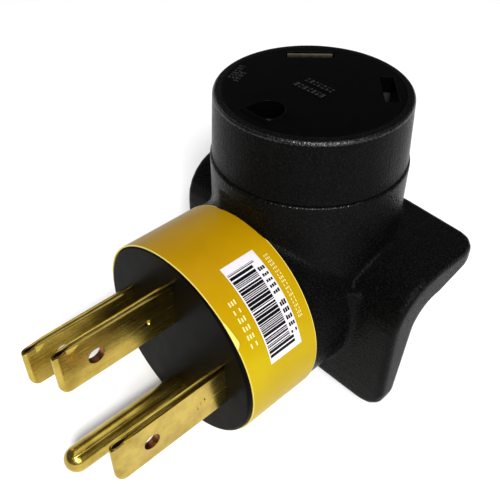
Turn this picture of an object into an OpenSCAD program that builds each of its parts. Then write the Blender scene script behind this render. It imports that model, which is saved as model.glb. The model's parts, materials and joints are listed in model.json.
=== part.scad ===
// Right-angle power adapter: a four-prong plug at one end of a moulded elbow,
// a round three-hole receptacle at the other, with a finger grip behind the bend.
// Frame: origin at the centre of the plug's face, prongs along -Y, receptacle axis along +Z.

/* [Overall] */
// Distance from the plug's face to the receptacle's axis
plug_reach = 44.5; // [42:0.5:50]
// Height of the receptacle's face above the plug's axis
head_height = 50.9; // [48:0.1:56]

/* [Plug barrel] */
// Radius of the plug barrel under its label
barrel_r = 25.6; // [25:0.1:27]
// Rounding of the edge of the plug's face
face_round = 0.8; // [0.5:0.1:2]
// Length of the front cap along the barrel
cap_len = 12; // [10:0.5:14]
// Thickness of the label sleeve
label_t = 0.4; // [0.2:0.1:0.6]
// Start of the label sleeve behind the plug's face
label_y0 = 1; // [1:0.1:3]
// End of the label sleeve behind the plug's face
label_y1 = 21.6; // [18:0.1:21.8]

/* [Prongs] */
// Sideways distance of each hot blade from the plug's axis
hot_x = 17.2; // [16:0.1:17.6]
// Height of the neutral blade above the plug's axis
neutral_z = 13.1; // [12:0.1:14]
// Depth of the ground pin below the plug's axis
ground_z = 16.65; // [15:0.05:17]
// Width of a blade
blade_w = 11.7; // [10:0.1:12.2]
// Thickness of a folded blade
blade_t = 1.9; // [1.4:0.1:2.2]
// Length of a blade in front of the face
blade_len = 30.4; // [26:0.1:32]
// Hole near a blade's tip
blade_hole_d = 4; // [3:0.1:5]
// Distance of that hole from the tip
blade_hole_in = 9.4; // [6:0.1:10]
// Radius of the ground pin
ground_r = 3.2; // [3:0.05:3.3]
// Length of the ground pin in front of the face
ground_len = 34; // [31:0.5:36]

/* [Elbow] */
// Radius of the elbow's upright neck
neck_r = 23.95; // [23.7:0.05:24.4]
// Rounding of the elbow's heel, opposite the bend
heel_r = 15; // [8:1:20]
// Height of the seam between elbow and collar
seam_z = 35; // [33:0.5:38]
// Wall thickness of the elbow
wall = 3.6; // [3:0.1:4]

/* [Finger grip] */
// Half of the grip's width across its upper leg
grip_half = 38.3; // [34:0.1:42]
// Half of the grip's width at the end of its lower leg
grip_half_low = 37.7; // [34:0.1:42]
// Rounding of all edges of the grip
grip_edge = 1.7; // [1:0.1:2.5]
// Rounding of the upper leg's free corners
corner_back = 5.3; // [4:0.1:8]
// Rounding of the lower leg's free corners
corner_low = 6.6; // [4:0.1:8]
// Height of the upper leg's top face above the plug's axis
grip_top = 17.2; // [16:0.1:18]
// Distance of the lower leg's front face from the receptacle's axis
grip_front = 9.5; // [9:0.1:10]
// Radius of the bend's outer face
bend_out = 13; // [11:0.1:14]
// Radius of the bend's inner face
bend_in = 7.1; // [5:0.1:9]
// Thickness of the grip at its bend
grip_root_t = 8.8; // [7:0.1:9.5]
// Thickness of the grip at its free ends
grip_end_t = 6.2; // [5:0.1:8]
// Distance of the grip's rear edge behind the receptacle's axis
grip_back = 23.2; // [18:0.1:24]
// Bow of the rear edge, from its middle to its corners
grip_bow = 1.9; // [0:0.1:3]
// Depth of the grip's lower edge below the plug's axis
grip_low = 24.7; // [20:0.1:26]
// Fillet where the barrel and the neck meet the grip
root_fillet = 2.4; // [1:0.1:3]

/* [Receptacle] */
// Radius of the collar at the seam
collar_r_low = 23.55; // [23.2:0.05:23.8]
// Radius of the collar at its rim
collar_r_top = 22.95; // [22.6:0.05:23.4]
// Rounding of the collar's rim
rim_round = 1; // [0.5:0.1:1.6]
// Radius of the receptacle's face
face_r = 20.9; // [20.5:0.1:21]
// Thickness of the face insert
face_t = 4.2; // [3:0.1:6]
// Distance of each angled slot from the receptacle's axis
slot_u = 17.1; // [16.6:0.1:17.3]
// Length of a slot
slot_len = 12; // [11:0.1:12.4]
// Width of a slot
slot_w = 3.2; // [2.4:0.1:3.4]
// Distance of the ground hole from the receptacle's axis
ground_hole_u = 14.4; // [13.5:0.1:15]
// Radius of the ground hole
ground_hole_r = 3.6; // [3.4:0.05:3.8]
// Height of the raised lip around the ground hole
lip_h = 0.35; // [0.2:0.05:0.6]

/* [Contacts] */
// Bore radius of the ground sleeve
sleeve_r = 3.25; // [3.2:0.05:3.4]
// Running clearance of a contact leaf's root
leaf_clear = 0.05; // [0.02:0.01:0.08]

/* [Wires] */
// Radius of a wire's conductor
core_r = 1.3; // [1:0.05:1.3]
// Radius over a wire's insulation
jacket_r = 2.1; // [1.8:0.05:2.2]

/* [Hidden] */
$fn = 96;
gap = 0.05;              // assembly clearance between fitted pieces
black = [0.07, 0.07, 0.075];
dark = [0.13, 0.13, 0.14];
brass = [0.80, 0.62, 0.24];
copper = [0.72, 0.42, 0.24];
yellow = [0.92, 0.74, 0.10];
steel = [0.62, 0.63, 0.65];
bore_r = barrel_r - wall - 0.4;      // inside of the barrel
neck_bore_r = face_r;                // inside of the neck
holder_y = 6;                        // front of the blade holder
holder_len = 10;
retainer_t = 2.6;
tail_y = holder_y + holder_len;      // where each blade narrows to its tail
pin_tail_r = ground_r - 0.3;         // ground pin behind the plug's face
barrel_y1 = tail_y + 8.5;            // rear mouth of the prongs' wire barrels
base_z = 22;                         // seat of the contacts
base_t = 1.2;
base_plate_t = 2.5;                  // plate under the carrier
wire_z = 15.6;                       // lower mouth of the contacts' wire barrels
tube_r = 2;                          // wire barrel radius outside
tube_in = core_r + gap;              // wire barrel bore
jaw_u = 17.95;                       // inner face of a fixed jaw
jaw_t = 0.85;
jaw_top = 43;
pivot_u = 14.9;                      // axis of a leaf's root
pivot_z = 24.7;
root_r = 0.9;
leaf_t = 0.7;
contact_u = 16;                      // wire barrel of a slot contact
ground_tail_u = -8.5;                // wire barrel of the ground contact
hot_angle = 45;
neutral_angle = 135;

// a cylinder lying along +Y from y0 to y1
module rod_y(r, y0, y1) translate([0, y0, 0]) rotate([-90, 0, 0]) cylinder(r = r, h = y1 - y0);
// places a child in a slot contact's own frame: X outward, Z up
module at_slot(angle) translate([0, plug_reach, 0]) rotate([0, 0, angle]) children();
// a box from one corner to the opposite one
module block(a, b) translate(a) cube(b - a);

// ---- finger grip: an L-shaped plate bent around the elbow, thinner at its free ends ----
back_drop = 0.2;        // the top face falls by this to the rear edge
low_lean = 0.5;         // the front face comes forward by this to the lower edge
// centres of the two faces' bends
outer_c = [bend_out - grip_front, grip_top - bend_out];
inner_c = [grip_root_t - grip_front + bend_in, grip_top - grip_root_t - bend_in];
// how far a corner's station lies in from the free edge, and its half width at the balls
function inset(r, a) = grip_edge + (r - grip_edge) * (1 - cos(a));
function side(half, r, a) = half - r + (r - grip_edge) * sin(a);
// stations along the plate: [outer ball, inner ball, half width at the balls, bow], each ball as [y, z]
back_stations = [for (a = [0:30:90]) let (y = grip_back - inset(corner_back, a), z = grip_top - back_drop)
    [[y, z - grip_edge], [y, z - grip_end_t + grip_edge], side(grip_half, corner_back, a), grip_bow]];
bend_stations = [for (i = [0:6]) let (a = 90 + 15 * i, n = [cos(a), sin(a)])
    [outer_c + (bend_out - grip_edge) * n, inner_c + (bend_in + grip_edge) * n,
     grip_half + (grip_half_low - grip_half) * i / 6 - grip_edge, 0]];
low_stations = [for (a = [90:-30:0]) let (y = -grip_front - low_lean, z = inset(corner_low, a) - grip_low)
    [[y + grip_edge, z], [y + grip_end_t - grip_edge, z], side(grip_half_low, corner_low, a), 0]];
stations = concat(back_stations, bend_stations, low_stations);
module station_balls(s, spots) for (k = spots, c = [s[0], s[1]])
    translate([k * s[2], c.x - s[3] * pow(k * s[2] / grip_half, 2), c.y]) sphere(grip_edge, $fn = 20);
module grip() translate([0, plug_reach, 0]) for (i = [0:len(stations) - 2]) hull() {
    station_balls(stations[i], i == 0 ? [-1, -0.5, 0, 0.5, 1] : [-1, 1]);
    station_balls(stations[i + 1], [-1, 1]);
}
// concave fillet ring of radius f around a cylinder of radius r, on a plate whose face is at height 0;
// it is sunk a little into both, so that it meets them at an edge
sunk = 0.2;
module fillet_ring(r, f) rotate_extrude() difference() {
    translate([r - 1, -1]) square([1 + f - sunk, f + 1 - sunk]);
    translate([r + f - sunk, f - sunk]) circle(f, $fn = 32);
}

// the elbow's body: the barrel and the neck meet at a heel rounded as seen from the side
module elbow_solid(barrel, neck, y0, z1, heel) {
    rod_y(barrel, y0, plug_reach);
    translate([0, plug_reach, 0]) cylinder(r = neck, h = z1);
    intersection() {
        rod_y(barrel, plug_reach - 0.1, plug_reach + 40);
        translate([0, plug_reach, -40]) cylinder(r = neck, h = 40.1);
        translate([-40, plug_reach, 0]) rotate([90, 0, 90]) linear_extrude(80)
            polygon(concat([[neck + 5, 60], [-60, 60], [-60, -barrel - 5]],
                [for (a = [-100:10:10]) [neck - heel, heel - barrel] + (heel + 0.3) * [cos(a), sin(a)]]));
    }
}
module elbow_housing() color(black) {
    front = plug_reach - grip_front;      // forward face of the grip
    x = grip_half_low - 3;
    difference() {
        union() {
            difference() {
                elbow_solid(barrel_r, neck_r, cap_len, seam_z, heel_r);
                // flat in front of the neck, which leaves room for the label
                block([-30, -1, 5], [30, cap_len, seam_z + 1]);
                difference() {
                    block([-30, cap_len - 1, 5], [30, label_y1 + 0.1, seam_z - 4]);
                    rod_y(barrel_r, 0, 50);
                }
            }
            grip();
            intersection() {
                translate([0, front, 0]) rotate([90, 0, 0]) fillet_ring(barrel_r, root_fillet);
                block([-x, 0, -grip_low + 3], [x, 60, 10]);
            }
            intersection() {
                translate([0, plug_reach, grip_top]) fillet_ring(neck_r, root_fillet);
                block([-x, plug_reach + outer_c.x, 10], [x, plug_reach + grip_back - 3, 30]);
            }
        }
        elbow_solid(bore_r, neck_bore_r, cap_len - 1, seam_z + 1, heel_r - wall);
        // seam chamfer under the collar
        translate([0, plug_reach, seam_z - 0.45]) rotate_extrude()
            polygon([[neck_r - 0.45, 0.46], [neck_r + 0.3, 0.46], [neck_r + 0.3, -0.3]]);
    }
    // spigot inside the front cap
    difference() {
        rod_y(barrel_r - 1.8, holder_y + 0.6, cap_len + 1);
        rod_y(bore_r, holder_y, cap_len + 2);
    }
}

module receptacle_collar() color(black) translate([0, plug_reach, 0]) rotate_extrude() {
    difference() {
        polygon([[face_r + gap, seam_z], [collar_r_low - 0.35, seam_z], [collar_r_low, seam_z + 0.35],
                 [collar_r_top, head_height - rim_round], [collar_r_top - rim_round, head_height],
                 [face_r + gap, head_height]]);
    }
    intersection() {
        translate([collar_r_top - rim_round, head_height - rim_round]) circle(rim_round, $fn = 48);
        translate([face_r + gap, head_height - rim_round - 1]) square([3, rim_round + 1]);
    }
}

module d_hole(r) {
    circle(r, $fn = 48);
    translate([-r, -r + 0.25]) square([2 * r, r - 0.25]);
}
module receptacle_face() color(dark) translate([0, plug_reach, 0]) difference() {
    z0 = head_height - face_t;
    union() {
        translate([0, 0, z0]) cylinder(r = face_r, h = face_t);
        translate([0, -ground_hole_u, head_height - 1]) linear_extrude(1 + lip_h) d_hole(ground_hole_r + 0.9);
    }
    for (a = [hot_angle, neutral_angle]) rotate([0, 0, a])
        block([slot_u - slot_w / 2, -slot_len / 2, z0 - 1],
              [slot_u + slot_w / 2, slot_len / 2, head_height + 1]);
    translate([0, -ground_hole_u, z0 - 1]) linear_extrude(face_t + 3) d_hole(ground_hole_r);
}

module blade_slots(clear, y0, y1) {
    for (p = [[hot_x, 0], [-hot_x, 0], [0, neutral_z]])
        block([p.x - blade_t / 2 - clear, y0, p.y - blade_w / 2 - clear],
              [p.x + blade_t / 2 + clear, y1, p.y + blade_w / 2 + clear]);
}
module plug_face() color(black) difference() {
    rotate([-90, 0, 0]) rotate_extrude() {
        translate([0, face_round]) square([barrel_r, cap_len - face_round]);
        square([barrel_r - face_round, face_round + 1]);
        translate([barrel_r - face_round, face_round]) circle(face_round, $fn = 48);
    }
    rod_y(barrel_r - 1.8 + gap, holder_y, cap_len + 1);
    blade_slots(gap, -1, holder_y + 1);
    translate([0, 0, -ground_z]) rod_y(ground_r + gap, -1, holder_y + 1);
}

module label_sleeve() color(yellow) difference() {
    rod_y(barrel_r + label_t, label_y0, label_y1);
    rod_y(barrel_r + 0.01, label_y0 - 1, label_y1 + 1);
}

// ---- prongs ----
module blade() {
    tip = -blade_len;
    hw = blade_w / 2;
    ht = blade_t / 2;
    low_r = 2.6;
    top_r = 1;
    loop = 1.7;
    difference() {
        intersection() {
            // outline seen from the side, with one large and one small corner at the tip
            rotate([0, -90, 0]) translate([0, 0, -ht]) linear_extrude(blade_t) union() {
                translate([-hw, tip + low_r]) square([blade_w, tail_y - tip - low_r]);
                translate([-hw + low_r, tip]) square([blade_w - low_r - top_r, low_r]);
                translate([hw - top_r - 0.1, tip + top_r]) square([top_r + 0.1, low_r]);
                translate([-hw + low_r, tip + low_r]) circle(low_r, $fn = 48);
                translate([hw - top_r, tip + top_r]) circle(top_r, $fn = 32);
            }
            // outline seen from above: the strip is folded back in a round loop at the tip
            translate([0, 0, -hw]) linear_extrude(blade_w) union() {
                translate([-ht, tip + loop]) square([blade_t, tail_y - tip - loop]);
                translate([0, tip + loop]) scale([ht / loop, 1]) circle(loop, $fn = 48);
            }
        }
        // hole through both layers
        translate([-5, tip + blade_hole_in, 0]) rotate([0, 90, 0]) cylinder(d = blade_hole_d, h = 10);
        // inside of the loop, and the line between the two layers along both edges
        translate([0, tip + loop + 0.2, -hw - 1]) scale([0.3, 1, 1]) cylinder(r = 1.4, h = blade_w + 2, $fn = 48);
        for (s = [-1, 1]) translate([0, 0, s * hw]) block([-0.12, tip + loop, -0.5], [0.12, 1, 0.5]);
    }
    // tail and wire barrel
    block([-ht, tail_y - 1, -3], [ht, tail_y + 3.4, 3]);
    difference() {
        rod_y(tube_r, tail_y + 3, barrel_y1);
        rod_y(tube_in, tail_y + 4, barrel_y1 + 1);
    }
}
module hot_x_blade() color(brass) translate([hot_x, 0, 0]) blade();
module hot_y_blade() color(brass) translate([-hot_x, 0, 0]) blade();
module neutral_blade() color(brass) translate([0, 0, neutral_z]) blade();
module ground_pin() color(brass) translate([0, 0, -ground_z]) {
    difference() {
        rotate([-90, 0, 0]) rotate_extrude() intersection() {
            union() {
                translate([0, -ground_len + ground_r]) square([ground_r, ground_len - ground_r]);
                translate([0, -1]) square([pin_tail_r, tail_y + 1]);
                translate([0, -ground_len + ground_r]) circle(ground_r);
            }
            translate([0, -100]) square([ground_r, 200]);
        }
        // the rolled seam along the pin
        rotate([0, 24, 0]) block([-0.1, -ground_len - 1, ground_r - 0.3], [0.1, 1, ground_r + 1]);
    }
    difference() {
        rod_y(tube_r + 0.2, tail_y, barrel_y1);
        rod_y(tube_in, tail_y + 4, barrel_y1 + 1);
    }
}

// ---- plug internals ----
retainer_screw = [9.5, -11];
module blade_holder() color(dark) difference() {
    rod_y(bore_r - gap, holder_y, tail_y);
    blade_slots(gap, holder_y - 1, tail_y + 1);
    translate([0, 0, -ground_z]) rod_y(pin_tail_r + gap, holder_y - 1, tail_y + 1);
    for (s = [-1, 1]) translate([s * retainer_screw.x, 0, retainer_screw.y])
        rod_y(1.1, tail_y - 7, tail_y + 1);
}
module blade_retainer() color(dark) difference() {
    rod_y(bore_r - gap, tail_y, tail_y + retainer_t);
    for (p = [[hot_x, 0], [-hot_x, 0], [0, neutral_z]])
        block([p.x - blade_t / 2 - gap, tail_y - 1, p.y - 3 - gap],
              [p.x + blade_t / 2 + gap, tail_y + 5, p.y + 3 + gap]);
    translate([0, 0, -ground_z]) rod_y(tube_r + 0.2 + gap, tail_y - 1, tail_y + 5);
    for (s = [-1, 1]) translate([s * retainer_screw.x, 0, retainer_screw.y])
        rod_y(1.4, tail_y - 1, tail_y + 5);
}
// pan-head screw pointing along -Z, underside of the head at height 0
module screw(shank_r, shank_len, head_r, head_h) difference() {
    union() {
        translate([0, 0, -shank_len]) cylinder(r = shank_r, h = shank_len + 0.1, $fn = 32);
        cylinder(r = head_r, h = head_h, $fn = 48);
    }
    for (a = [0, 90]) rotate([0, 0, a])
        block([-head_r * 0.6, -0.3, head_h - 0.8], [head_r * 0.6, 0.3, head_h + 1]);
}
module retainer_screws() color(steel) for (s = [-1, 1])
    translate([s * retainer_screw.x, tail_y + retainer_t, retainer_screw.y])
        rotate([-90, 0, 0]) screw(1.1 - gap, retainer_t + 6, 2.3, 1.6);

// ---- receptacle internals ----
carrier_screw = [14, -8.5];
module contact_carrier() color(dark) translate([0, plug_reach, 0]) difference() {
    translate([0, 0, base_z]) cylinder(r = face_r - gap, h = head_height - face_t - base_z);
    for (a = [hot_angle, neutral_angle]) rotate([0, 0, a])
        block([12.6, -5.6, base_z - 1], [jaw_u + jaw_t + gap, 5.6, head_height]);
    translate([0, -ground_hole_u, base_z - 1]) cylinder(r = sleeve_r + 0.8 + gap, h = 40);
    block([-3.1, -ground_hole_u, base_z - 1], [3.1, ground_tail_u + 3.1, base_z + base_t + gap]);
    for (s = [-1, 1]) translate([s * carrier_screw.x, carrier_screw.y, base_z - 1]) cylinder(r = 1.1, h = 9);
}
module carrier_base() color(dark) translate([0, plug_reach, 0]) difference() {
    translate([0, 0, base_z - base_plate_t]) cylinder(r = face_r - gap, h = base_plate_t);
    for (a = [hot_angle, neutral_angle]) rotate([0, 0, a])
        translate([contact_u, 0, base_z - 5]) cylinder(r = tube_r + gap, h = 9);
    translate([0, ground_tail_u, base_z - 5]) cylinder(r = tube_r + gap, h = 9);
    for (s = [-1, 1]) translate([s * carrier_screw.x, carrier_screw.y, base_z - 5]) cylinder(r = 1.4, h = 9);
}
module carrier_screws() color(steel) translate([0, plug_reach, 0]) for (s = [-1, 1])
    translate([s * carrier_screw.x, carrier_screw.y, base_z - base_plate_t])
        rotate([180, 0, 0]) screw(1.1 - gap, base_plate_t + 6, 2.3, 1.6);

module wire_tube(x, y) translate([x, y, 0]) difference() {
    translate([0, 0, wire_z]) cylinder(r = tube_r, h = base_z - wire_z + 0.1);
    translate([0, 0, wire_z - 1]) cylinder(r = tube_in, h = base_z - wire_z);
}
// fixed jaw, base, wire barrel and the curled seat of the leaf
module slot_contact() color(brass) {
    block([12.7, -5.4, base_z], [jaw_u + jaw_t, 5.4, base_z + base_t]);
    rotate([90, 0, 0]) translate([0, 0, -5]) linear_extrude(10)
        polygon([[jaw_u, base_z + 0.5], [jaw_u + jaw_t, base_z + 0.5], [jaw_u + jaw_t, jaw_top],
                 [jaw_u + jaw_t * 0.6, jaw_top], [jaw_u, jaw_top - 2]]);
    difference() {
        block([pivot_u - 1.7, -4.6, base_z + 1], [pivot_u + 1.7, 4.6, pivot_z + 1]);
        translate([pivot_u, -6, pivot_z]) rotate([-90, 0, 0])
            cylinder(r = root_r + leaf_clear, h = 12, $fn = 48);
        block([pivot_u - 0.65, -6, pivot_z], [pivot_u + 0.65, 6, pivot_z + 3]);
    }
    wire_tube(contact_u, 0);
}
module hot_contact() at_slot(hot_angle) slot_contact();
module neutral_contact() at_slot(neutral_angle) slot_contact();
// the sprung leaf: rounded root, straight arm, contact bump, lead-in lip
module contact_leaf() color(brass) {
    h = leaf_t / 2;
    translate([pivot_u, -4.2, pivot_z]) rotate([-90, 0, 0]) cylinder(r = root_r, h = 8.4, $fn = 48);
    rotate([90, 0, 0]) translate([0, 0, -4.2]) linear_extrude(8.4) difference() {
        union() {
            polygon([[pivot_u - h, pivot_z], [pivot_u + h, pivot_z], [pivot_u + h, 39.6],
                     [pivot_u - 0.5, 42.6], [pivot_u - 1.1, 42.4], [pivot_u - h, 39.6]]);
            translate([pivot_u + 0.2, 37.4]) circle(1.3, $fn = 48);
        }
        translate([pivot_u - h - 3, 30]) square([3, 9.6]);
    }
}
module hot_contact_leaf() at_slot(hot_angle) contact_leaf();
module neutral_contact_leaf() at_slot(neutral_angle) contact_leaf();
module ground_contact() color(brass) translate([0, plug_reach, 0]) {
    difference() {
        translate([0, -ground_hole_u, base_z]) cylinder(r = sleeve_r + 0.8, h = jaw_top + 2 - base_z);
        translate([0, -ground_hole_u, base_z + base_t]) cylinder(r = sleeve_r, h = 40);
        block([-0.6, -ground_hole_u - 6, base_z + base_t + 1], [0.6, -ground_hole_u, 60]);
    }
    difference() {
        block([-3, -ground_hole_u, base_z], [3, ground_tail_u + 3, base_z + base_t]);
        translate([0, -ground_hole_u, base_z - 1]) cylinder(r = sleeve_r + 0.4, h = 9);
    }
    wire_tube(0, ground_tail_u);
}

// ---- wires: one round tube swept along each route, from a prong's barrel to a contact's ----
tail_in = tail_y + 4.4;          // the conductor's end inside a prong's barrel
core_top = base_z - 1.4;         // its end inside a contact's barrel
slot_u_x = contact_u * cos(hot_angle);
slot_u_y = plug_reach + contact_u * sin(hot_angle);
ground_u_y = plug_reach + ground_tail_u;
hot_route = [[hot_x, 29, 0], [16.2, 38, 0.5], [14.2, 48, 2], [12, 54.2, 6.4], [slot_u_x, slot_u_y, 11.5]];
neutral_route = [[-1, 28.5, 12.8], [-6, 33.5, 11], [-11, 41.5, 7.5], [-12.4, 50, 6.6],
                 [-slot_u_x, slot_u_y, 11]];
ground_route = [[0, 29, -16.4], [0, 37, -13.5], [0, 41.2, -6], [0, 40, 3], [0, ground_u_y, 10.5]];
function unit(v) = v / norm(v);
// Catmull-Rom curve through p, n steps a span
function spline(p, n) = let (k = len(p) - 1) concat([for (i = [0:k - 1], j = [0:n - 1])
    let (t = j / n, a = p[max(i - 1, 0)], b = p[i], c = p[i + 1], d = p[min(i + 2, k)])
    0.5 * (2 * b + (c - a) * t + (2 * a - 5 * b + 4 * c - d) * t * t
           + (3 * b - a - 3 * c + d) * t * t * t)], [p[k]]);
// the sideways directions are carried along the path, so the tube doesn't twist
function carried(p, i, u) = let (t = unit(p[min(i + 1, len(p) - 1)] - p[max(i - 1, 0)]),
    v = unit(u - (u * t) * t)) i == len(p) - 1 ? [[t, v]] : concat([[t, v]], carried(p, i + 1, v));
function ring(c, t, u, r, n) = let (w = cross(t, u))
    [for (k = [0:n - 1]) c + r * (cos(360 * k / n) * u + sin(360 * k / n) * w)];
module swept(p, r, n = 10) {
    m = len(p);
    f = carried(p, 0, [1, 0.01, 0.02]);
    pts = [for (i = [0:m - 1]) each ring(p[i], f[i][0], f[i][1], r, n)];
    sides = [for (i = [0:m - 2], k = [0:n - 1]) let (a = i * n + k, b = i * n + (k + 1) % n)
        [a, a + n, b + n, b]];
    polyhedron(pts, concat([[for (k = [0:n - 1]) k]], [[for (k = [n - 1:-1:0]) (m - 1) * n + k]], sides));
}
function path(a, route, top) = spline(concat([a], route, [top]), 4);
module wire_core(start, route, top) swept(concat([start + [0, tail_in - barrel_y1 - 0.3, 0]],
    path(start, route, top), [[top.x, top.y, core_top]]), core_r);
module wire_jacket(start, route, top) difference() {
    swept(path(start, route, top), jacket_r);
    swept(concat([start - [0, 1, 0]], path(start, route, top), [top + [0, 0, 1]]), core_r + 0.02);
}
hot_start = [hot_x, barrel_y1 + 0.3, 0];
neutral_start = [0, barrel_y1 + 0.3, neutral_z];
ground_start = [0, barrel_y1 + 0.3, -ground_z];
hot_top = [slot_u_x, slot_u_y, wire_z - 0.5];
neutral_top = [-slot_u_x, slot_u_y, wire_z - 0.5];
ground_top = [0, ground_u_y, wire_z - 0.5];
module hot_wire_core() color(copper) wire_core(hot_start, hot_route, hot_top);
module neutral_wire_core() color(copper) wire_core(neutral_start, neutral_route, neutral_top);
module ground_wire_core() color(copper) wire_core(ground_start, ground_route, ground_top);
module hot_wire_jacket() color(black) wire_jacket(hot_start, hot_route, hot_top);
module neutral_wire_jacket() color("white") wire_jacket(neutral_start, neutral_route, neutral_top);
module ground_wire_jacket() color("green") wire_jacket(ground_start, ground_route, ground_top);

elbow_housing();
receptacle_collar();
receptacle_face();
plug_face();
label_sleeve();
hot_x_blade();
hot_y_blade();
neutral_blade();
ground_pin();
blade_holder();
blade_retainer();
retainer_screws();
contact_carrier();
carrier_base();
carrier_screws();
hot_contact();
neutral_contact();
ground_contact();
hot_contact_leaf();
neutral_contact_leaf();
hot_wire_core();
neutral_wire_core();
ground_wire_core();
hot_wire_jacket();
neutral_wire_jacket();
ground_wire_jacket();
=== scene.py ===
"""Looks of the right-angle power adapter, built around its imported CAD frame."""

import json
import math
import random

import bmesh
import bpy
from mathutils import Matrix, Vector, noise


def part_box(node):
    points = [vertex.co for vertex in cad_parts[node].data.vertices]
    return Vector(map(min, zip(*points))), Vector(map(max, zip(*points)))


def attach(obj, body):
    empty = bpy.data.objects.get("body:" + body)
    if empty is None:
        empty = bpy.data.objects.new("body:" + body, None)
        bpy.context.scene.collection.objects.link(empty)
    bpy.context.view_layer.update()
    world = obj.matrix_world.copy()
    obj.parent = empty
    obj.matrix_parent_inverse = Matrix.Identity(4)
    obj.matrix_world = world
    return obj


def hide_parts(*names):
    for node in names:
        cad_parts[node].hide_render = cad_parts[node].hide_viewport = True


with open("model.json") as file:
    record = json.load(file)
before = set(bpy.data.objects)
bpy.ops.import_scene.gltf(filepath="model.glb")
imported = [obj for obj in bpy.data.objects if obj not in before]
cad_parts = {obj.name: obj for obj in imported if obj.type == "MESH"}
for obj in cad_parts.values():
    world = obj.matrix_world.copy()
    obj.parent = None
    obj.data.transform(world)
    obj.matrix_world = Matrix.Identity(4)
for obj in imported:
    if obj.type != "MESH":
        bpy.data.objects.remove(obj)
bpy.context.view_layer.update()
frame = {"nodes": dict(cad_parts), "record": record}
NODES = frame["nodes"]
BODY = "adapter"
MM = 0.001

# ---------------------------------------------------------------- sizes taken from the frame
label_lo, label_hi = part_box("label_sleeve")
collar_lo, collar_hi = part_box("receptacle_collar")
LABEL_R = label_hi[2]
LABEL_Y0, LABEL_Y1 = label_lo[1], label_hi[1]
AXIS_Y = (collar_lo[1] + collar_hi[1]) / 2
FACE_Z = collar_hi[2]
SEAM_Z = collar_lo[2]
# values of the CAD part that no box gives: its label's thickness, its neck, and its slots' place and width
LABEL_T = 0.4 * MM
NECK_R = 23.95 * MM
SLOT_U, SLOT_W = 17.1 * MM, 3.2 * MM
BARREL_R = LABEL_R - LABEL_T


# ---------------------------------------------------------------- materials
def new_material(name):
    mat = bpy.data.materials.new(name)
    mat.use_nodes = True
    nodes, links = mat.node_tree.nodes, mat.node_tree.links
    return mat, nodes, links, nodes["Principled BSDF"]


def add(nodes, kind, **values):
    n = nodes.new(kind)
    for key, value in values.items():
        if hasattr(n, key):
            setattr(n, key, value)
        else:
            n.inputs[key].default_value = value
    return n


def ramp(nodes, stops):
    n = nodes.new("ShaderNodeValToRGB")
    el = n.color_ramp.elements
    while len(el) < len(stops):
        el.new(0.5)
    for e, (pos, col) in zip(el, stops):
        e.position = pos
        e.color = (*col, 1.0) if isinstance(col, tuple) else (col, col, col, 1.0)
    return n


def textured_plastic(name, base, grain, depth, rough_lo, rough_hi, spec, peak):
    """Moulded plastic with a spark-eroded grain: pits of two sizes, and pale specks painted into its colour
    as glints.
    """
    mat, nodes, links, bsdf = new_material(name)
    co = nodes.new("ShaderNodeTexCoord")
    fine = add(nodes, "ShaderNodeTexNoise", Scale=grain, Detail=3.0, Roughness=0.65)
    wide = add(nodes, "ShaderNodeTexNoise", Scale=grain * 0.07, Detail=4.0, Roughness=0.6)
    pits = add(nodes, "ShaderNodeTexVoronoi", Scale=grain * 0.8)
    for n in (fine, wide, pits):
        links.new(co.outputs["Object"], n.inputs["Vector"])
    tone = ramp(nodes, [(0.3, tuple(c * 0.75 for c in base)), (0.7, tuple(c * 1.35 for c in base))])
    links.new(wide.outputs["Fac"], tone.inputs["Fac"])
    # painted glints: where the fine noise peaks, the colour is mixed toward the pale peak grey, standing in
    # for sparkles of light on the grain
    painted_glint_mask = ramp(nodes, [(0.5, 0.0), (0.68, 1.0)])
    links.new(fine.outputs["Fac"], painted_glint_mask.inputs["Fac"])
    blend = add(nodes, "ShaderNodeMix", data_type="RGBA")
    blend.inputs[7].default_value = (peak, peak, peak, 1.0)
    links.new(painted_glint_mask.outputs["Color"], blend.inputs[0])
    links.new(tone.outputs["Color"], blend.inputs[6])
    links.new(blend.outputs[2], bsdf.inputs["Base Color"])
    rough = ramp(nodes, [(0.36, rough_lo), (0.56, rough_hi)])
    links.new(fine.outputs["Fac"], rough.inputs["Fac"])
    links.new(rough.outputs["Color"], bsdf.inputs["Roughness"])
    height = add(nodes, "ShaderNodeMath", operation="ADD")
    links.new(fine.outputs["Fac"], height.inputs[0])
    links.new(pits.outputs["Distance"], height.inputs[1])
    bump = add(nodes, "ShaderNodeBump", Strength=depth, Distance=0.0004)
    links.new(height.outputs[0], bump.inputs["Height"])
    links.new(bump.outputs["Normal"], bsdf.inputs["Normal"])
    bsdf.inputs["Specular IOR Level"].default_value = spec
    return mat


def smooth_plastic(name, base, rough, depth=0.05, spec=0.4):
    """Moulded plastic with a satin, slightly uneven skin."""
    scale = 260.0
    mat, nodes, links, bsdf = new_material(name)
    co = nodes.new("ShaderNodeTexCoord")
    n1 = add(nodes, "ShaderNodeTexNoise", Scale=scale, Detail=4.0, Roughness=0.55)
    n2 = add(nodes, "ShaderNodeTexNoise", Scale=scale * 12, Detail=2.0)
    for n in (n1, n2):
        links.new(co.outputs["Object"], n.inputs["Vector"])
    tone = ramp(nodes, [(0.3, tuple(c * 0.8 for c in base)), (0.7, tuple(min(1.0, c * 1.2) for c in base))])
    links.new(n1.outputs["Fac"], tone.inputs["Fac"])
    links.new(tone.outputs["Color"], bsdf.inputs["Base Color"])
    r = ramp(nodes, [(0.3, rough * 0.85), (0.7, rough * 1.15)])
    links.new(n1.outputs["Fac"], r.inputs["Fac"])
    links.new(r.outputs["Color"], bsdf.inputs["Roughness"])
    bump = add(nodes, "ShaderNodeBump", Strength=depth, Distance=0.0002)
    links.new(n2.outputs["Fac"], bump.inputs["Height"])
    links.new(bump.outputs["Normal"], bsdf.inputs["Normal"])
    bsdf.inputs["Specular IOR Level"].default_value = spec
    return mat


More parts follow.
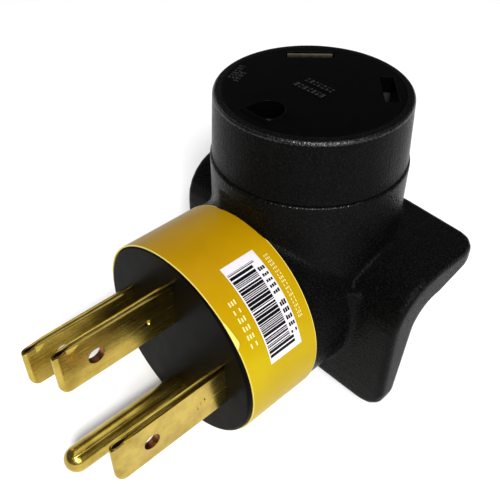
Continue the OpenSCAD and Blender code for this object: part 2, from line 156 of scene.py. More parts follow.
def metal(name, base, dark, rough, along="Y"):
    """Drawn or stamped metal: faint draw lines along one axis, with stain and wear."""
    mat, nodes, links, bsdf = new_material(name)
    co = nodes.new("ShaderNodeTexCoord")
    stretch = {"X": (40, 900, 900), "Y": (900, 40, 900), "Z": (900, 900, 40)}[along]
    mapping = add(nodes, "ShaderNodeMapping")
    mapping.inputs["Scale"].default_value = stretch
    links.new(co.outputs["Object"], mapping.inputs["Vector"])
    lines = add(nodes, "ShaderNodeTexNoise", Scale=2.0, Detail=5.0, Roughness=0.7)
    links.new(mapping.outputs["Vector"], lines.inputs["Vector"])
    stain = add(nodes, "ShaderNodeTexNoise", Scale=150.0, Detail=5.0, Roughness=0.6)
    links.new(co.outputs["Object"], stain.inputs["Vector"])
    tone = ramp(nodes, [(0.35, dark), (0.62, base)])
    links.new(stain.outputs["Fac"], tone.inputs["Fac"])
    links.new(tone.outputs["Color"], bsdf.inputs["Base Color"])
    r = ramp(nodes, [(0.3, rough * 0.7), (0.75, rough * 1.6)])
    links.new(lines.outputs["Fac"], r.inputs["Fac"])
    links.new(r.outputs["Color"], bsdf.inputs["Roughness"])
    bump = add(nodes, "ShaderNodeBump", Strength=0.35, Distance=0.00004)
    links.new(lines.outputs["Fac"], bump.inputs["Height"])
    links.new(bump.outputs["Normal"], bsdf.inputs["Normal"])
    bsdf.inputs["Metallic"].default_value = 1.0
    return mat


def label_material():
    """Glossy printed film."""
    mat, nodes, links, bsdf = new_material("label_film")
    co = nodes.new("ShaderNodeTexCoord")
    n1 = add(nodes, "ShaderNodeTexNoise", Scale=70.0, Detail=3.0, Roughness=0.5)
    n2 = add(nodes, "ShaderNodeTexNoise", Scale=500.0, Detail=4.0, Roughness=0.6)
    for n in (n1, n2):
        links.new(co.outputs["Object"], n.inputs["Vector"])
    tone = ramp(nodes, [(0.3, (0.34, 0.23, 0.001)), (0.7, (0.38, 0.275, 0.0012))])
    links.new(n1.outputs["Fac"], tone.inputs["Fac"])
    # painted shade: the film is darker and warmer toward the top, where less light falls
    sep = nodes.new("ShaderNodeSeparateXYZ")
    links.new(co.outputs["Object"], sep.inputs[0])
    top_shade_amount = add(nodes, "ShaderNodeMapRange")
    for key, value in (("From Min", 10 * MM), ("From Max", 26 * MM), ("To Min", 0.0), ("To Max", 1.0)):
        top_shade_amount.inputs[key].default_value = value
    links.new(sep.outputs["Z"], top_shade_amount.inputs["Value"])
    painted_top_shade = add(nodes, "ShaderNodeMix", data_type="RGBA", blend_type="MULTIPLY")
    painted_top_shade.inputs[7].default_value = (0.93, 0.72, 0.6, 1.0)
    links.new(top_shade_amount.outputs["Result"], painted_top_shade.inputs[0])
    links.new(tone.outputs["Color"], painted_top_shade.inputs[6])
    links.new(painted_top_shade.outputs[2], bsdf.inputs["Base Color"])
    r = ramp(nodes, [(0.3, 0.3), (0.7, 0.4)])
    links.new(n2.outputs["Fac"], r.inputs["Fac"])
    links.new(r.outputs["Color"], bsdf.inputs["Roughness"])
    bump = add(nodes, "ShaderNodeBump", Strength=0.1, Distance=0.0004)
    links.new(n2.outputs["Fac"], bump.inputs["Height"])
    links.new(bump.outputs["Normal"], bsdf.inputs["Normal"])
    bsdf.inputs["Specular IOR Level"].default_value = 0.06
    return mat


BLACK = (0.0013, 0.0013, 0.0013)
# the last number of each textured plastic is the grey of its painted glint specks
RUBBED_BLACK = textured_plastic("rubbed_black", BLACK, 2600.0, 0.32, 0.14, 0.26, 0.36, 0.0045)
M = {
    "housing_black": textured_plastic("moulded_black", BLACK, 2600.0, 0.34, 0.14, 0.3, 0.034, 0.006),
    "collar_black": textured_plastic("moulded_black_collar", BLACK, 2900.0, 0.32, 0.14, 0.28, 0.024, 0.006),
    "face_black": smooth_plastic("satin_black_face", (0.0008, 0.0008, 0.0008), 0.34, depth=0.1, spec=0.022),
    "plug_black": smooth_plastic("satin_black_plug", (0.0016, 0.0015, 0.0013), 0.36, depth=0.15, spec=0.018),
    "label_yellow": label_material(),
    "prong_brass": metal("bright_brass", (0.50, 0.37, 0.075), (0.32, 0.225, 0.035), 0.2),
    "contact_brass": metal("stamped_brass", (0.34, 0.25, 0.09), (0.22, 0.15, 0.045), 0.34, "Z"),
    "leaf_brass": metal("spring_brass", (0.55, 0.37, 0.14), (0.40, 0.25, 0.08), 0.3, "Z"),
    "insulator_grey": smooth_plastic("plain_grey", (0.018, 0.018, 0.019), 0.5, depth=0.1),
    "screw_steel": metal("zinc_steel", (0.62, 0.63, 0.65), (0.45, 0.45, 0.46), 0.3, "Z"),
    "wire_copper": metal("drawn_copper", (0.80, 0.38, 0.20), (0.60, 0.24, 0.12), 0.25),
    "jacket_black": smooth_plastic("jacket_black", (0.02, 0.02, 0.02), 0.45),
    "jacket_white": smooth_plastic("jacket_white", (0.75, 0.75, 0.72), 0.45),
    "jacket_green": smooth_plastic("jacket_green", (0.03, 0.24, 0.07), 0.45),
}
SLOT_OF = {s["node"]: s["material_slot"] for s in frame["record"]["subparts"]}
for node, obj in NODES.items():
    mat = M[SLOT_OF[node]]
    if not obj.material_slots:
        obj.data.materials.append(mat)
    for s in obj.material_slots:
        s.material = mat


def rub_edge(obj, lo, hi):
    """Gives an upright ring's edge, between two heights, the black that hands have rubbed shiny."""
    obj.data.materials.append(RUBBED_BLACK)
    shiny = len(obj.data.materials) - 1
    for f in obj.data.polygons:
        if lo < f.center.z < hi:
            f.material_index = shiny


rub_edge(NODES["receptacle_collar"], FACE_Z - 0.95 * MM, FACE_Z - 0.12 * MM)


# ---------------------------------------------------------------- mesh helpers
def link(name, mesh, slot, body=BODY, smooth=True):
    obj = bpy.data.objects.new(name, mesh)
    bpy.context.scene.collection.objects.link(obj)
    if not mesh.materials:
        mesh.materials.append(M[slot])
    if smooth:
        mesh.polygons.foreach_set("use_smooth", [True] * len(mesh.polygons))
    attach(obj, body)
    return obj


def applied(obj):
    """Bakes an object's modifiers into its mesh."""
    mesh = bpy.data.meshes.new_from_object(obj.evaluated_get(bpy.context.evaluated_depsgraph_get()))
    obj.modifiers.clear()
    obj.data = mesh
    return obj


def clean_bm(node):
    """A CAD node's mesh with each of its flat areas dissolved to a single face."""
    bm = bmesh.new()
    bm.from_mesh(NODES[node].data)
    bmesh.ops.remove_doubles(bm, verts=bm.verts, dist=0.002 * MM)
    bmesh.ops.dissolve_limit(bm, angle_limit=math.radians(1), verts=bm.verts, edges=bm.edges)
    return bm


def clamped(t):
    return min(1.0, max(0.0, t))


def repaint(obj, *materials):
    obj.data.materials.clear()
    for material in materials:
        obj.data.materials.append(material)


# ---------------------------------------------------------------- housing: blended where its shapes meet
VOXEL = 0.45 * MM


def soften_housing():
    """The CAD housing, remeshed and smoothed where the barrel, neck, heel and grip meet."""
    mesh = NODES["elbow_housing"].data.copy()
    mesh.materials.clear()
    obj = link("housing_shell", mesh, "housing_black")
    m = obj.modifiers.new("remesh", "REMESH")
    m.mode = "VOXEL"
    m.voxel_size = VOXEL
    m.use_smooth_shade = True
    applied(obj)
    group = obj.vertex_groups.new(name="blend")
    saddle = obj.vertex_groups.new(name="saddle")
    for v in obj.data.vertices:
        x, y, z = v.co
        rim = clamped((SEAM_Z - 1.6 * MM - z) / (2 * MM))
        front = clamped((y - LABEL_Y1) / (2 * MM))
        group.add([v.index], rim * front, "REPLACE")
        # the corner between barrel and neck, away from the grip
        off = math.hypot(math.hypot(x, z) - BARREL_R, math.hypot(x, y - AXIS_Y) - NECK_R)
        free = clamped((33 * MM - y) / (5 * MM)) * clamped(z / (4 * MM))
        near = clamped(2 - off / (2.6 * MM))
        if near * free > 0 and y < AXIS_Y:
            saddle.add([v.index], near * free * rim * min(1.0, front + 0.3), "REPLACE")
        # the heel under the neck, between the two halves of the grip
        heel = clamped(2 - off / (3.4 * MM)) * clamped((19.5 * MM - abs(x)) / (4 * MM))
        if heel > 0 and y > AXIS_Y and z < 0:
            saddle.add([v.index], heel, "REPLACE")
    for name, factor, turns in (("saddle", 0.5, 50), ("blend", 0.5, 5), ("", 0.4, 2)):
        m = obj.modifiers.new("smooth", "SMOOTH")
        m.factor = factor
        m.iterations = turns
        m.vertex_group = name
    applied(obj)
    obj.vertex_groups.clear()
    obj.data.polygons.foreach_set("use_smooth", [True] * len(obj.data.polygons))
    rub_edge(obj, SEAM_Z - 0.75 * MM, SEAM_Z - 0.05 * MM)
    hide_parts("elbow_housing")


soften_housing()


def seam_ring():
    """The housing's rim under the collar, chamfered all round."""
    bm = bmesh.new()
    top, deep = SEAM_Z - 0.03 * MM, SEAM_Z - 2 * MM
    profile = [(NECK_R - 1.2 * MM, deep), (NECK_R + 0.02 * MM, deep), (NECK_R + 0.02 * MM, top - 0.62 * MM),
               (NECK_R - 0.06 * MM, top - 0.42 * MM), (NECK_R - 0.4 * MM, top - 0.08 * MM),
               (NECK_R - 0.6 * MM, top), (NECK_R - 1.2 * MM, top)]
    around = 240
    rings = []
    for i in range(around):
        a = 2 * math.pi * i / around
        rings.append([bm.verts.new((r * math.cos(a), AXIS_Y + r * math.sin(a), z)) for r, z in profile])
    for i in range(around):
        a, b = rings[i], rings[(i + 1) % around]
        for k in range(len(profile)):
            n = (k + 1) % len(profile)
            bm.faces.new((a[k], a[n], b[n], b[k]))
    bmesh.ops.recalc_face_normals(bm, faces=bm.faces)
    obj = loose("seam_ring", bm)
    shade(obj, 50)
    obj.data.materials.append(M["housing_black"])
    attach(obj, BODY)


# ---------------------------------------------------------------- prongs
def prism(outline, axis, lo, hi):
    """A closed prism: outline holds points in the two axes other than this one, in x, y, z order."""
    bm = bmesh.new()
    ends = []
    for level in (lo, hi):
        ring = []
        for u, v in outline:
            co = [u, v]
            co.insert(axis, level)
            ring.append(bm.verts.new(co))
        ends.append(ring)
    bm.faces.new(ends[0])
    bm.faces.new(ends[1])
    for i in range(len(outline)):
        k = (i + 1) % len(outline)
        bm.faces.new((ends[0][i], ends[0][k], ends[1][k], ends[1][i]))
    bmesh.ops.recalc_face_normals(bm, faces=bm.faces)
    return bm


def arc(cx, cy, rx, ry, a0, a1, n):
    return [(cx + rx * math.cos(math.radians(a0 + (a1 - a0) * i / n)),
             cy + ry * math.sin(math.radians(a0 + (a1 - a0) * i / n))) for i in range(n + 1)]


def loose(name, bm):
    """A mesh object that isn't part of the scene's pieces yet, made from bm."""
    mesh = bpy.data.meshes.new(name)
    bm.to_mesh(mesh)
    bm.free()
    obj = bpy.data.objects.new(name, mesh)
    bpy.context.scene.collection.objects.link(obj)
    return obj


def combine(obj, bm, operation="DIFFERENCE"):
    cutter = loose("cutter", bm)
    m = obj.modifiers.new("cut", "BOOLEAN")
    m.object = cutter
    m.operation = operation
    m.solver = "EXACT"
    applied(obj)
    bpy.data.objects.remove(cutter)


def break_edges(obj, width, angle=40):
    """Rounds every edge sharper than angle, in degrees."""
    m = obj.modifiers.new("edge", "BEVEL")
    m.width = width
    m.segments = 3
    m.limit_method = "ANGLE"
    m.angle_limit = math.radians(angle)
    applied(obj)


def shade(obj, angle=32):
    """Smooth shading that keeps flat faces flat and edges above this angle sharp."""
    mesh = obj.data
    mesh.polygons.foreach_set("use_smooth", [True] * len(mesh.polygons))
    mesh.set_sharp_from_angle(angle=math.radians(angle))
    m = obj.modifiers.new("normals", "WEIGHTED_NORMAL")
    m.keep_sharp = True
    m.weight = 90
    applied(obj)


seam_ring()


def with_cad_tail(obj, node, cut_y):
    """Adds the CAD node's own mesh behind cut_y, which the plug hides."""
    bm = bmesh.new()
    bm.from_mesh(NODES[node].data)
    bmesh.ops.remove_doubles(bm, verts=bm.verts, dist=0.001 * MM)
    geom = bm.verts[:] + bm.edges[:] + bm.faces[:]
    bmesh.ops.bisect_plane(bm, geom=geom, plane_co=(0, cut_y, 0), plane_no=(0, -1, 0), clear_outer=True)
    bmesh.ops.holes_fill(bm, edges=[e for e in bm.edges if e.is_boundary])
    tail = loose("tail", bm)
    bm = bmesh.new()
    bm.from_mesh(obj.data)
    bm.from_mesh(tail.data)
    bm.to_mesh(obj.data)
    bm.free()
    bpy.data.objects.remove(tail)


def hull_of(points):
    bm = bmesh.new()
    verts = [bm.verts.new(q) for q in points]
    bmesh.ops.convex_hull(bm, input=verts)
    bmesh.ops.recalc_face_normals(bm, faces=bm.faces)
    return bm


TARNISH = metal("tarnished_brass", (0.34, 0.13, 0.045), (0.17, 0.05, 0.02), 0.32)
FACE_CUT = 1.0 * MM


def folded_blade(node, marks=None):
    """A strip of brass folded back on itself at the tip, with its loop open along both edges."""
    lo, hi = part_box(node)
    tip, cx, cz = lo.y, (lo.x + hi.x) / 2, (lo.z + hi.z) / 2
    ht, hw = 0.95 * MM, (hi.z - lo.z) / 2
    loop = 1.7 * MM
    plan = [(cx + ht, FACE_CUT), (cx - ht, FACE_CUT)]
    plan += arc(cx, tip + loop, ht, loop, 180, 360, 20)
    obj = loose(node + "_folded", prism(plan, 2, cz - hw, cz + hw))
    low_r, top_r = 2.6 * MM, 0.9 * MM
    droop = 0.45 * MM
    side = [(FACE_CUT + MM, cz - hw)]
    side += arc(tip + low_r, cz - hw + low_r, low_r, low_r, 270, 180, 10)
    side += arc(tip + top_r, cz + hw - droop - top_r, top_r, top_r, 180, 90, 6)
    side += [(tip + 5.5 * MM, cz + hw), (FACE_CUT + MM, cz + hw)]
    combine(obj, prism(side, 0, cx - 3 * MM, cx + 3 * MM), "INTERSECT")
    break_edges(obj, 0.24 * MM)
    # the loop at the tip, drawn out to a line between the layers
    slit = 0.07 * MM
    drop = arc(cx, tip + 1.95 * MM, 0.5 * MM, 1.35 * MM, 150, 390, 22)
    drop += [(cx + slit, tip + 4.6 * MM), (cx - slit, tip + 4.6 * MM)]
    combine(obj, prism(drop, 2, cz - 8 * MM, cz + 8 * MM))
    for side_z in (1, -1):
        depth = 0.6 * MM
        v = [(cx, cz + side_z * (hw - depth)), (cx + 0.22 * MM, cz + side_z * (hw + 0.1 * MM)),
             (cx - 0.22 * MM, cz + side_z * (hw + 0.1 * MM))]
        combine(obj, prism(v, 1, tip + 4.5 * MM, FACE_CUT + MM))
    # facet where the front layer is pressed down behind the loop
    a = Vector((cx + ht, tip + 6.1 * MM, cz + hw))
    b = Vector((cx + ht, tip + 3.2 * MM, cz + hw - 2.0 * MM))
    c = Vector((cx + 0.42 * MM, tip + 3.3 * MM, cz + hw))
    out = [Vector(q) * MM for q in ((0.6, 0.2, 0.6), (0.9, -0.2, 0.3), (0.4, -0.2, 0.9))]
    combine(obj, hull_of([a, b, c, a + out[0], b + out[1], c + out[2]]))
    hole_y, hole_z, hole_r = tip + HOLE_IN, cz - 0.3 * MM, 2.0 * MM
    combine(obj, prism(arc(hole_y, hole_z, hole_r, hole_r, 0, 352.5, 47), 0, cx - 3 * MM, cx + 3 * MM))
    if marks == "dimple":
        bm = bmesh.new()
        bmesh.ops.create_uvsphere(bm, u_segments=24, v_segments=16, radius=0.95 * MM)
        bmesh.ops.translate(bm, verts=bm.verts, vec=(cx + ht + 0.55 * MM, -7.6 * MM, cz - 0.2 * MM))
        combine(obj, bm)
    if marks == "stamp":
        for dy, dz, length in ((0.4, 0.6, 1.5), (-0.7, 0.2, 1.1), (-1.8, -0.3, 1.4)):
            y, z, top = -6.8 * MM + dy * MM, cz + dz * MM - length * MM / 2, length * MM
            stroke = [(y, z), (y + 0.36 * MM, z), (y + 0.1 * MM, z + top), (y - 0.26 * MM, z + top)]
            combine(obj, prism(stroke, 0, cx + ht - 0.12 * MM, cx + ht + MM))
    with_cad_tail(obj, node, FACE_CUT)
    shade(obj)
    repaint(obj, M["prong_brass"], TARNISH)
    for f in obj.data.polygons:
        y, z = f.center.y - hole_y, f.center.z - hole_z
        bore = math.hypot(y, z) < hole_r * 1.02 and abs(f.normal.x) < 0.5
        inner = (abs(f.center.x - cx) < 0.52 * MM and tip + 0.5 * MM < f.center.y < tip + 4.4 * MM
                 and abs(f.normal.z) < 0.3)
        if bore or inner:
            f.material_index = 1
    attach(obj, BODY)
    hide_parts(node)


HOLE_IN = 9.4 * MM
folded_blade("hot_x_blade", "stamp")
folded_blade("hot_y_blade")
folded_blade("neutral_blade", "dimple")


def rolled_pin():
    """A tube rolled from brass strip: its seam runs along the pin and opens in a notch at the dome."""
    node = "ground_pin"
    lo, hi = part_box(node)
    r = (hi.z - lo.z) / 2
    cz, tip = (lo.z + hi.z) / 2, lo.y
    around = 120
    profile = [(r, FACE_CUT), (r, tip + r)] + arc(0, tip + r, r, r, 0, -84, 16)[1:]
    bm = bmesh.new()
    rings = []
    for x, y in profile:
        rings.append([bm.verts.new((x * math.cos(2 * math.pi * i / around), y,
                                    cz + x * math.sin(2 * math.pi * i / around))) for i in range(around)])
    for a, b in zip(rings, rings[1:]):
        for i in range(around):
            k = (i + 1) % around
            bm.faces.new((a[i], a[k], b[k], b[i]))
    bm.faces.new(rings[0][::-1])
    bm.faces.new(rings[-1])
    bmesh.ops.recalc_face_normals(bm, faces=bm.faces)
    obj = loose(node + "_rolled", bm)
    ang = math.radians(66)
    out, side = Vector((math.cos(ang), 0, math.sin(ang))), Vector((-math.sin(ang), 0, math.cos(ang)))
    base = Vector((0, 0, cz))

    def at(y, height, across):
        return base + out * height + side * across + Vector((0, y, 0))

    seam, deep = 0.09 * MM, r - 0.3 * MM
    combine(obj, hull_of([at(y, h, w) for y in (tip + 2.2 * MM, FACE_CUT + MM) for h, w in
                          ((deep, 0), (r + 0.1 * MM, seam), (r + 0.1 * MM, -seam))]))
    notch = [at(tip + 2.2 * MM, r * 0.55, 0), at(tip + 4.9 * MM, deep, 0)]
    notch += [at(tip + 1.5 * MM, r + 0.3 * MM, w) for w in (0.42 * MM, -0.42 * MM)]
    notch += [at(tip + 5.2 * MM, r + 0.1 * MM, w) for w in (seam, -seam)]
    combine(obj, hull_of(notch))
    with_cad_tail(obj, node, FACE_CUT)
    shade(obj)
    repaint(obj, M["prong_brass"])
    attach(obj, BODY)
    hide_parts(node)


rolled_pin()


# ---------------------------------------------------------------- label sleeve and its print
def on_barrel(angle, y, r):
    return Vector((r * math.cos(angle), y, r * math.sin(angle)))


def wrapped_patch(bm, a0, a1, y0, y1, r0, r1):
    """A closed thin block bent around the barrel, from angle a0 to a1 (radians, from +X to +Z)."""
    n = max(1, round(abs(a1 - a0) / math.radians(1.5)))
    rings = []
    for i in range(n + 1):
        a = a0 + (a1 - a0) * i / n
        rings.append([bm.verts.new(on_barrel(a, y, r)) for y, r in ((y0, r0), (y1, r0), (y1, r1), (y0, r1))])
    for a, b in zip(rings, rings[1:]):
        for k in range(4):
            bm.faces.new((a[k], a[(k + 1) % 4], b[(k + 1) % 4], b[k]))
    bm.faces.new(rings[0][::-1])
    bm.faces.new(rings[-1])


def finish_bm(bm, name, slot, smooth=True):
    bmesh.ops.recalc_face_normals(bm, faces=bm.faces)
    mesh = bpy.data.meshes.new(name)
    bm.to_mesh(mesh)
    bm.free()
    return link(name, mesh, slot, smooth=smooth)


def wrinkle_width(angle):
    """Width of the pressed-down, creased strip at the label's front edge, zero where there's none."""
    deg, widest = math.degrees(angle), 1.0 * MM
    start, peak, end = 34, 37, 51
    if peak <= deg < end:
        return widest * ((end - deg) / (end - peak)) ** 0.9
    if start < deg < peak:
        return widest * (1 - ((peak - deg) / (peak - start)) ** 2)
    return 0.0


def film_lift(angle, y, from_edge):
    """How far the film stands off the barrel: small waves, and the crease at the front edge."""
    lift = 0.05 * MM * noise.noise(Vector((math.cos(angle) * 5, math.sin(angle) * 5, y * 60)))
    width = wrinkle_width(angle)
    if width > 0.2 * MM:
        lift += 0.1 * MM * math.exp(-(((from_edge - width) / (0.35 * MM)) ** 2))
        lift -= 0.2 * MM * max(0.0, 1 - from_edge / width)
    return lift


# width of the pale strip along the film's rear edge
EDGE_W = 0.2 * MM


def flat_print(name, colour, rough):
    """Printing ink, or the pale colour of the film's edges, which over the front edge's crease is a painted
    highlight.
    """
    mat, nodes, links, bsdf = new_material(name)
    co = nodes.new("ShaderNodeTexCoord")
    n1 = add(nodes, "ShaderNodeTexNoise", Scale=900.0, Detail=3.0)
    links.new(co.outputs["Object"], n1.inputs["Vector"])
    tone = ramp(nodes, [(0.3, tuple(c * 0.94 for c in colour)), (0.7, colour)])
    links.new(n1.outputs["Fac"], tone.inputs["Fac"])
    links.new(tone.outputs["Color"], bsdf.inputs["Base Color"])
    r = ramp(nodes, [(0.3, rough * 0.9), (0.7, rough * 1.1)])
    links.new(n1.outputs["Fac"], r.inputs["Fac"])
    links.new(r.outputs["Color"], bsdf.inputs["Roughness"])
    bsdf.inputs["Specular IOR Level"].default_value = 0.06
    return mat


def label_sleeve():
    """The label: one turn of film, put on slightly askew, with slightly wavy edges."""
    bm = bmesh.new()
    around, across = 540, 38
    rows, creased = [], []
    for i in range(around):
        a = 2 * math.pi * i / around
        wave = 0.05 * MM * noise.noise(Vector((math.cos(a) * 3, math.sin(a) * 3, 0.3)))
        front = LABEL_Y0 + (-0.16 + 0.33 * math.cos(a) - 0.77 * math.sin(a)) * MM + wave
        rear = LABEL_Y1 + (0.08 - 0.09 * math.cos(a) + 0.16 * math.sin(a)) * MM + wave
        row, pale = [], []
        crease = max(0.13 * MM, wrinkle_width(a))
        stops = [front + crease * j / 4 for j in range(4)]
        film = rear - EDGE_W - front - crease
        stops += [front + crease + film * (j / across) ** 1.3 for j in range(across)]
        stops += [rear - EDGE_W, rear]
        for j, y in enumerate(stops):
            # pale strips along both edges of the film; the wider one over the crease at the front edge is a
            # painted highlight
            pale.append(j < 4 or j == len(stops) - 2)
            row.append(bm.verts.new(on_barrel(a, y, LABEL_R - 0.03 * MM + film_lift(a, y, y - front))))
        inner = [bm.verts.new(on_barrel(a, y, LABEL_R - 0.38 * MM)) for y in (rear, front)]
        rows.append(row + inner)
        creased.append(pale + [True, True])
    count = len(rows[0])
    for i in range(around):
        a, b = rows[i], rows[(i + 1) % around]
        for k in range(count):
            f = bm.faces.new((a[k], a[(k + 1) % count], b[(k + 1) % count], b[k]))
            f.material_index = int(creased[i][k] and k != count - 2)
    obj = finish_bm(bm, "label_film", "label_yellow")
    obj.data.materials.append(flat_print("label_edge_and_crease_highlight", (0.62, 0.50, 0.11), 0.3))
    break_edges(obj, 0.12 * MM, 50)
    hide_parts("label_sleeve")


label_sleeve()

PATCH_A0, PATCH_A1 = math.radians(16.0), math.radians(70.5)
PATCH_Y0, PATCH_Y1 = 7.4 * MM, 17.0 * MM
INK_WHITE = flat_print("print_white", (0.58, 0.56, 0.59), 0.35)
INK_PALE = flat_print("print_pale", (0.62, 0.55, 0.22), 0.35)
INK_BLACK = flat_print("print_black", (0.003, 0.003, 0.003), 0.3)


def printed(name, ink, rects, lift):
    """One piece of raised print: each rectangle is two angles and two places along the barrel."""
    bm = bmesh.new()
    for a0, a1, y0, y1 in rects:
        wrapped_patch(bm, a0, a1, y0, y1, LABEL_R - 0.04 * MM, LABEL_R + lift)
    obj = finish_bm(bm, name, "label_yellow")
    obj.data.set_sharp_from_angle(angle=math.radians(40))
    repaint(obj, ink)


def greeked(a0, a1, y0, y1, rng, cells, line):
    """Generic marks in a row: groups of two or three thin dashes, standing in for lettering."""
    out = []
    step = (a1 - a0) / cells
    for i in range(cells):
        width = step * rng.uniform(0.55, 0.74)
        a = a0 + i * step
        rows = rng.choice(((0, 0.5, 1), (0, 1), (0, 0.5, 1)))
        for t in rows:
            y = y0 + (y1 - y0 - line) * t
            out.append((a, a + width * rng.uniform(0.7, 1.0), y, y + line))
    return out


def label_print():
    """The label's pale patch with its random bars, and the rows of generic dashes."""
    rng = random.Random(11)
    printed("label_patch", INK_WHITE, [(PATCH_A0, PATCH_A1, PATCH_Y0, PATCH_Y1)], 0.02 * MM)
    bars, a = [], PATCH_A0 + math.radians(3.2)
    end = PATCH_A1 - math.radians(4.6)
    while a < end:
        w = math.radians(rng.choice((0.5, 0.55, 1.1, 1.65, 0.75)))
        edge = a < PATCH_A0 + math.radians(6) or a > end - math.radians(3)
        bars.append((a, min(a + w, end), PATCH_Y0 + 0.3 * MM, PATCH_Y0 + (7.9 if edge else 7.0) * MM))
        a += w + math.radians(rng.choice((0.32, 0.36, 0.36, 0.7)))
    printed("label_bars", INK_BLACK, bars, 0.035 * MM)
    row = PATCH_Y0 + 7.55 * MM, PATCH_Y0 + 9.3 * MM
    marks = greeked(PATCH_A0 + math.radians(8), PATCH_A0 + math.radians(27), *row, rng, 5, 0.5 * MM)
    marks += greeked(PATCH_A0 + math.radians(30), PATCH_A1 - math.radians(8), *row, rng, 5, 0.5 * MM)
    printed("label_bar_marks", INK_BLACK, marks, 0.035 * MM)
    line = greeked(math.radians(29), math.radians(66), 18.2 * MM, 19.3 * MM, rng, 19, 0.2 * MM)
    line += greeked(math.radians(30), math.radians(57), 3.9 * MM, 5.7 * MM, rng, 6, 0.34 * MM)
    printed("label_lines", INK_PALE, line, 0.02 * MM)


label_print()


# ---------------------------------------------------------------- receptacle face
def face_insert():
    """The face with its slots' and ground hole's edges broken."""
    obj = loose("face_insert", clean_bm("receptacle_face"))
    break_edges(obj, 0.28 * MM)
    shade(obj)
    repaint(obj, M["face_black"])
    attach(obj, BODY)
    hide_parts("receptacle_face")


face_insert()


def slot_lip():
    """The neutral contact's wiping lip, seen against the outer wall of its slot."""
    turn, deep, half = math.radians(135), FACE_Z - 3.4 * MM, 5.6 * MM
    bm = bmesh.new()
    wall = SLOT_U + SLOT_W / 2
    profile = [(wall - 0.35 * MM, deep), (wall - 0.02 * MM, deep), (wall - 0.02 * MM, FACE_Z - 0.5 * MM),
               (wall - 0.12 * MM, FACE_Z - 0.5 * MM), (wall - 0.4 * MM, FACE_Z - 1.3 * MM)]
    rings, cos, sin = [], math.cos(turn), math.sin(turn)
    for v in (-half, half):
        rings.append([bm.verts.new((u * cos - v * sin, AXIS_Y + u * sin + v * cos, z)) for u, z in profile])
    bm.faces.new(rings[0])
    bm.faces.new(rings[1][::-1])
    for k in range(len(profile)):
        n = (k + 1) % len(profile)
        bm.faces.new((rings[0][k], rings[0][n], rings[1][n], rings[1][k]))
    bmesh.ops.recalc_face_normals(bm, faces=bm.faces)
    obj = loose("neutral_slot_lip", bm)
    break_edges(obj, 0.06 * MM)
    shade(obj)
    repaint(obj, metal("dull_brass", (0.06, 0.054, 0.036), (0.022, 0.018, 0.012), 0.45, "Z"))
    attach(obj, BODY)


slot_lip()


# ---------------------------------------------------------------- generic raised marks on the face
# the heights that one raised stroke fills, as parts of its row's height
STROKES = (((-0.5, -0.15), (0.15, 0.5)), ((-0.5, 0.5),), ((-0.5, 0.1), (0.3, 0.5)))


def face_marks():
    """Rows of random raised strokes. A row's place and size are in millimetres from the face's centre."""
    rng = random.Random(4)
    bm = bmesh.new()

    def bar(corners, h):
        vs = [bm.verts.new((x, y, zz)) for zz in (FACE_Z - 0.1 * MM, FACE_Z + h) for x, y in corners]
        for f in ((0, 3, 2, 1), (4, 5, 6, 7), (0, 1, 5, 4), (1, 2, 6, 5), (2, 3, 7, 6), (3, 0, 4, 7)):
            bm.faces.new([vs[i] for i in f])

    def row(cx, cy, turn, length, height):
        along = Vector((math.cos(turn), math.sin(turn)))
        up = Vector((-along.y, along.x))
        x = -length / 2
        while x < length / 2:
            w = rng.uniform(0.55, 0.95)
            for lo, hi in rng.choice(STROKES):
                corners = (x, lo), (x + w, lo), (x + w, hi), (x, hi)
                at = [Vector((cx, cy)) + along * u + up * v * height for u, v in corners]
                bar([(q.x * MM, AXIS_Y + q.y * MM) for q in at], 0.22 * MM)
            x += w + 0.5

    row(0, 1.7, 0, 7.4, 1.7)
    row(0, -1.5, 0, 8.6, 1.7)
    row(-17.4, -7.5, math.radians(-68), 7.0, 1.5)
    row(-15.2, -8.6, math.radians(-68), 5.0, 1.2)
    obj = finish_bm(bm, "face_marks", "face_black", smooth=False)
    b = obj.modifiers.new("edge", "BEVEL")
    b.width = 0.1 * MM
    b.segments = 2
    applied(obj)
    repaint(obj, smooth_plastic("polished_black_marks", (0.003, 0.003, 0.003), 0.22, spec=0.4))


face_marks()


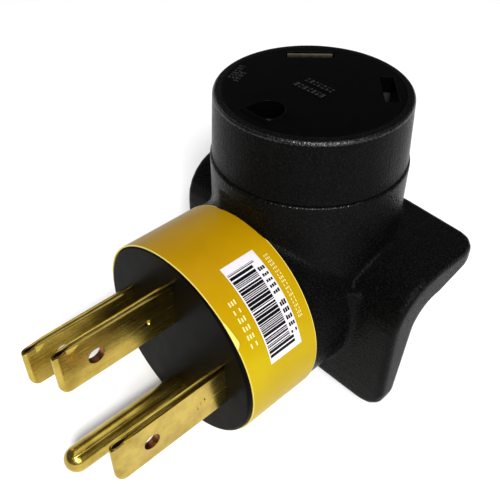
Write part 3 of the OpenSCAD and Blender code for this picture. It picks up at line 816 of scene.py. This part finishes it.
# ---------------------------------------------------------------- floor, light and camera
def floor():
    bm = bmesh.new()
    size, drop = 3.0, label_lo[2] - 0.1 * MM
    bmesh.ops.create_grid(bm, x_segments=4, y_segments=4, size=size)
    mesh = bpy.data.meshes.new("floor")
    bm.to_mesh(mesh)
    bm.free()
    obj = bpy.data.objects.new("floor", mesh)
    obj.location.z = drop
    bpy.context.scene.collection.objects.link(obj)
    mat, nodes, links, bsdf = new_material("floor_white")
    co = nodes.new("ShaderNodeTexCoord")
    n1 = add(nodes, "ShaderNodeTexNoise", Scale=3.0, Detail=2.0)
    links.new(co.outputs["Object"], n1.inputs["Vector"])
    tone = ramp(nodes, [(0.3, 0.95), (0.7, 0.97)])
    links.new(n1.outputs["Fac"], tone.inputs["Fac"])
    links.new(tone.outputs["Color"], bsdf.inputs["Base Color"])
    bsdf.inputs["Roughness"].default_value = 0.8
    mesh.materials.append(mat)


floor()


CENTRE = (0, AXIS_Y * 0.6, 0.01)


def area_light(name, place, size, power, size_y=None):
    """A soft rectangular light turned to the middle of the object."""
    data = bpy.data.lights.new(name, "AREA")
    data.energy = power
    data.shape = "RECTANGLE"
    data.size = size
    data.size_y = size_y or size
    obj = bpy.data.objects.new(name, data)
    obj.location = place
    obj.rotation_euler = (Vector(CENTRE) - Vector(place)).to_track_quat("-Z", "Y").to_euler()
    bpy.context.scene.collection.objects.link(obj)


area_light("overhead", (-0.1, 0.12, 1.3), 1.0, 4.2)
area_light("softbox", (0.9, -0.25, 0.5), 0.6, 5.0)
area_light("key", (0.72, -0.52, 0.82), 0.22, 18.0)
area_light("back_fill", (-0.95, 0.25, 0.32), 0.7, 1.2)
area_light("back_strip", (0.02, 0.62, 0.78), 0.4, 0.6, 0.12)

world = bpy.data.worlds.new("studio")
bpy.context.scene.world = world
world.use_nodes = True
world.node_tree.nodes["Background"].inputs["Color"].default_value = (1, 1, 1, 1)
world.node_tree.nodes["Background"].inputs["Strength"].default_value = 0.14
bpy.context.scene.view_settings.view_transform = "Standard"

# the camera looks down on the plug's side from the front right
AZ, EL = math.radians(46.37), math.radians(41.09)
cam_data = bpy.data.cameras.new("camera")
cam_data.sensor_width = 36.0
cam_data.lens = 49.46
cam_data.clip_start = 0.005
cam = bpy.data.objects.new("camera", cam_data)
cam.location = (0.09199, AXIS_Y - 0.10749, 0.12515)
ahead = Vector((-math.sin(AZ) * math.cos(EL), math.cos(AZ) * math.cos(EL), -math.sin(EL)))
cam.rotation_euler = ahead.to_track_quat("-Z", "Y").to_euler()
bpy.context.scene.collection.objects.link(cam)
bpy.context.scene.camera = cam
